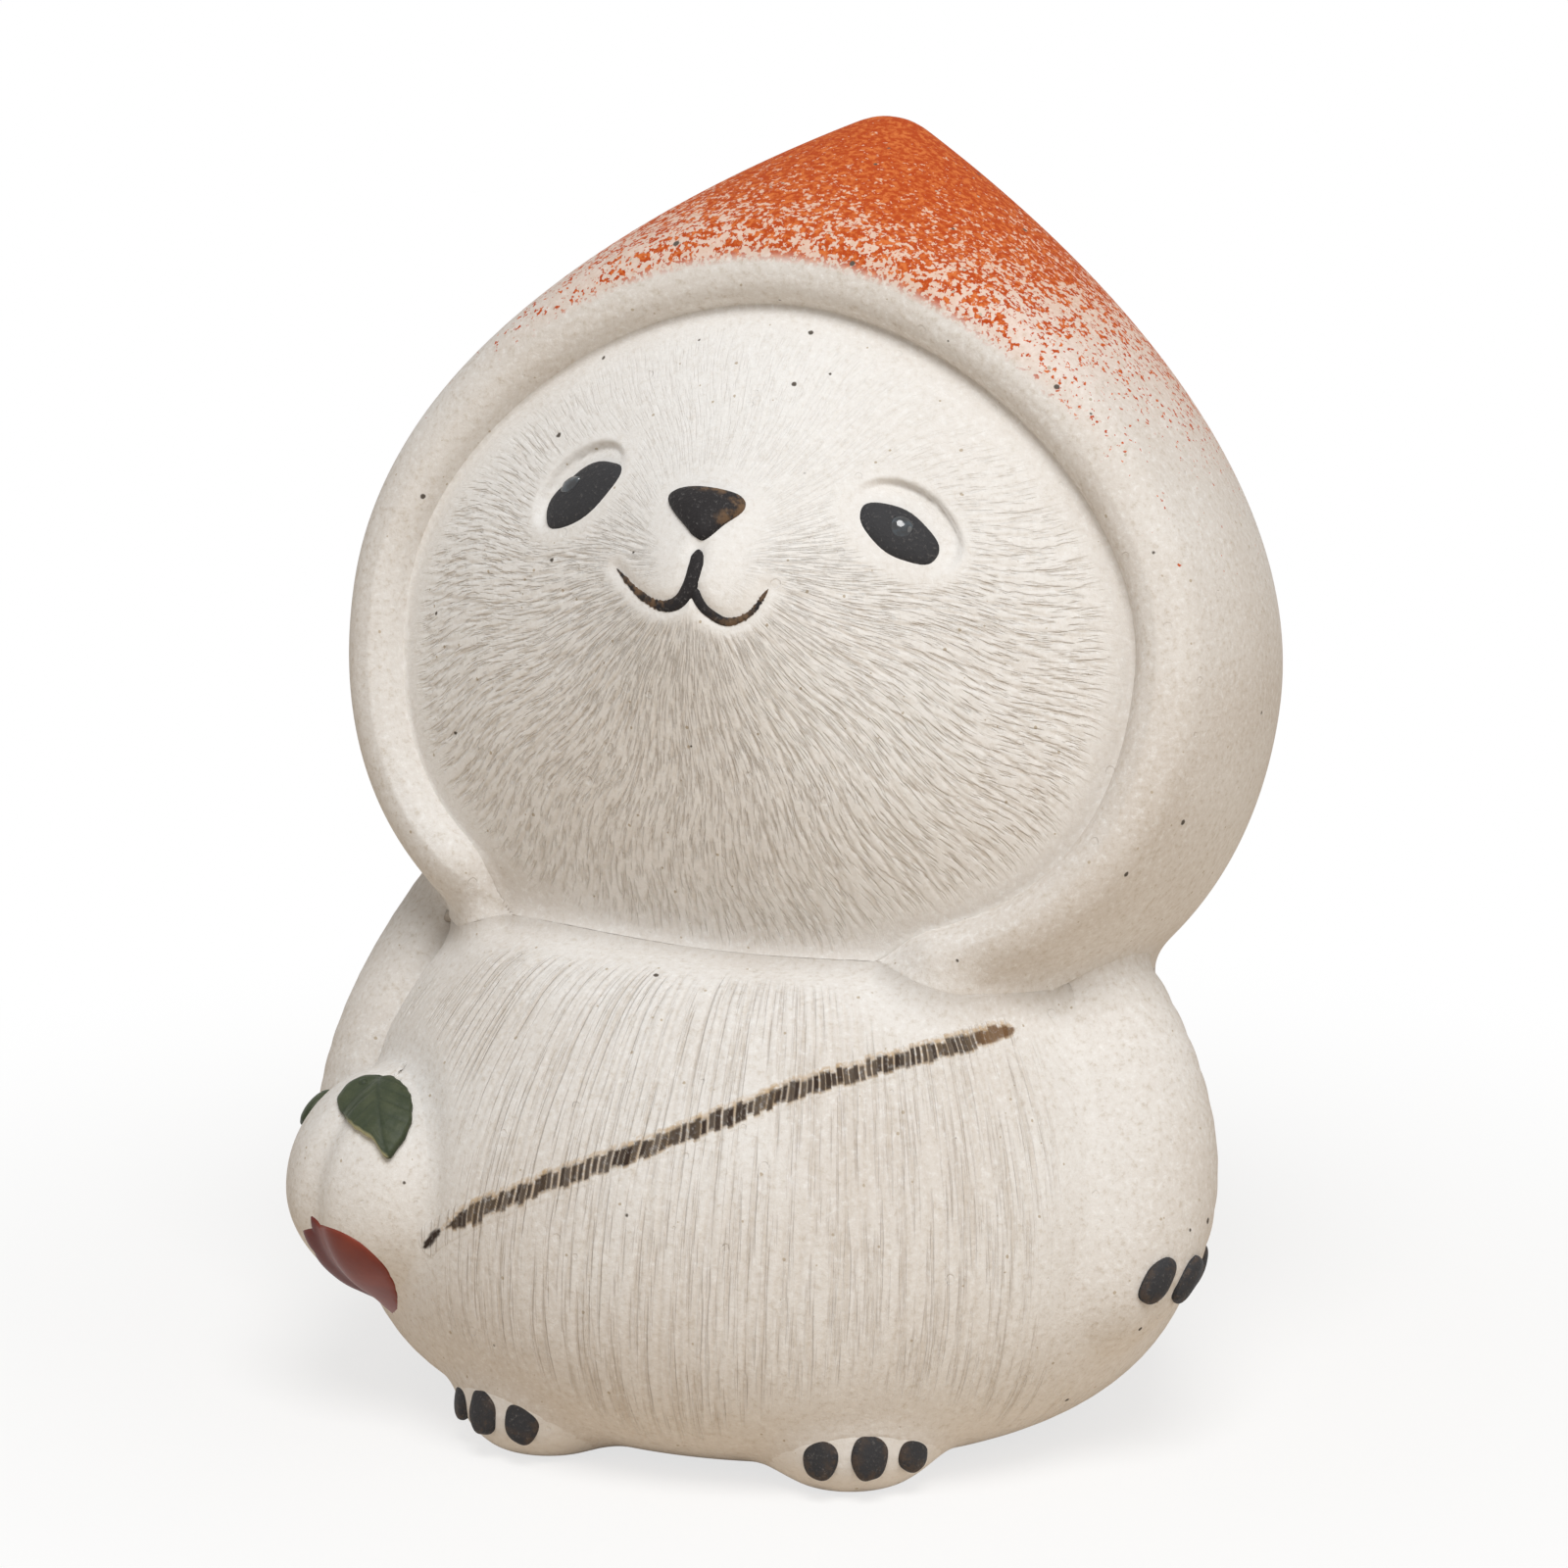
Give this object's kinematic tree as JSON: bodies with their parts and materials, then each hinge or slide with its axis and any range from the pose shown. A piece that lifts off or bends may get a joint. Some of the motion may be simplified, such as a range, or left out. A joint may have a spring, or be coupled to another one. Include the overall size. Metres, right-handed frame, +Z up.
{
  "type": "tea pet",
  "caption": "Stoneware tea pet: a seated bear cub in a peach-shaped hood, with a peach satchel at its hip, made to stand on a tea tray and have tea poured over it.",
  "frame": {"origin": "on the surface it stands on, under the middle of its bounding box", "axes": "+Z up, the cub faces -Y, its own left side is +X"},
  "size_m": [0.061, 0.0592, 0.0802],
  "materials": {
    "stoneware": "unglazed, fine dark specks, orange-red spray on the hood's point",
    "white_slip": "unglazed pale slip, combed on the face",
    "black_clay": "dry black slip clay with a gritty skin",
    "black_glaze": "glossy bead of black glaze",
    "brown_slip": "dark brown slip, combed across",
    "green_glaze": "dark green glaze, pale where it breaks",
    "red_glaze": "glossy brown-red glaze"
  },
  "bodies": {
    "root": {"body_shell": "stoneware", "hood_shell": "stoneware", "left_arm": "stoneware", "right_arm": "stoneware", "satchel": "stoneware", "face_panel": "white_slip", "left_foot": "white_slip", "right_foot": "white_slip", "nose": "black_clay", "mouth": "black_clay", "left_eye": "black_clay", "right_eye": "black_clay", "left_foot_claw_inner": "black_clay", "left_foot_claw_middle": "black_clay", "left_foot_claw_outer": "black_clay", "right_foot_claw_inner": "black_clay", "right_foot_claw_middle": "black_clay", "right_foot_claw_outer": "black_clay", "left_hand_claw_inner": "black_clay", "left_hand_claw_middle": "black_clay", "left_hand_claw_outer": "black_clay", "left_pupil": "black_glaze", "right_pupil": "black_glaze", "strap": "brown_slip", "satchel_leaf_front": "green_glaze", "satchel_leaf_rear": "green_glaze", "satchel_stem": "green_glaze", "satchel_glazed_cheek": "red_glaze"}
  },
  "joints": []
}
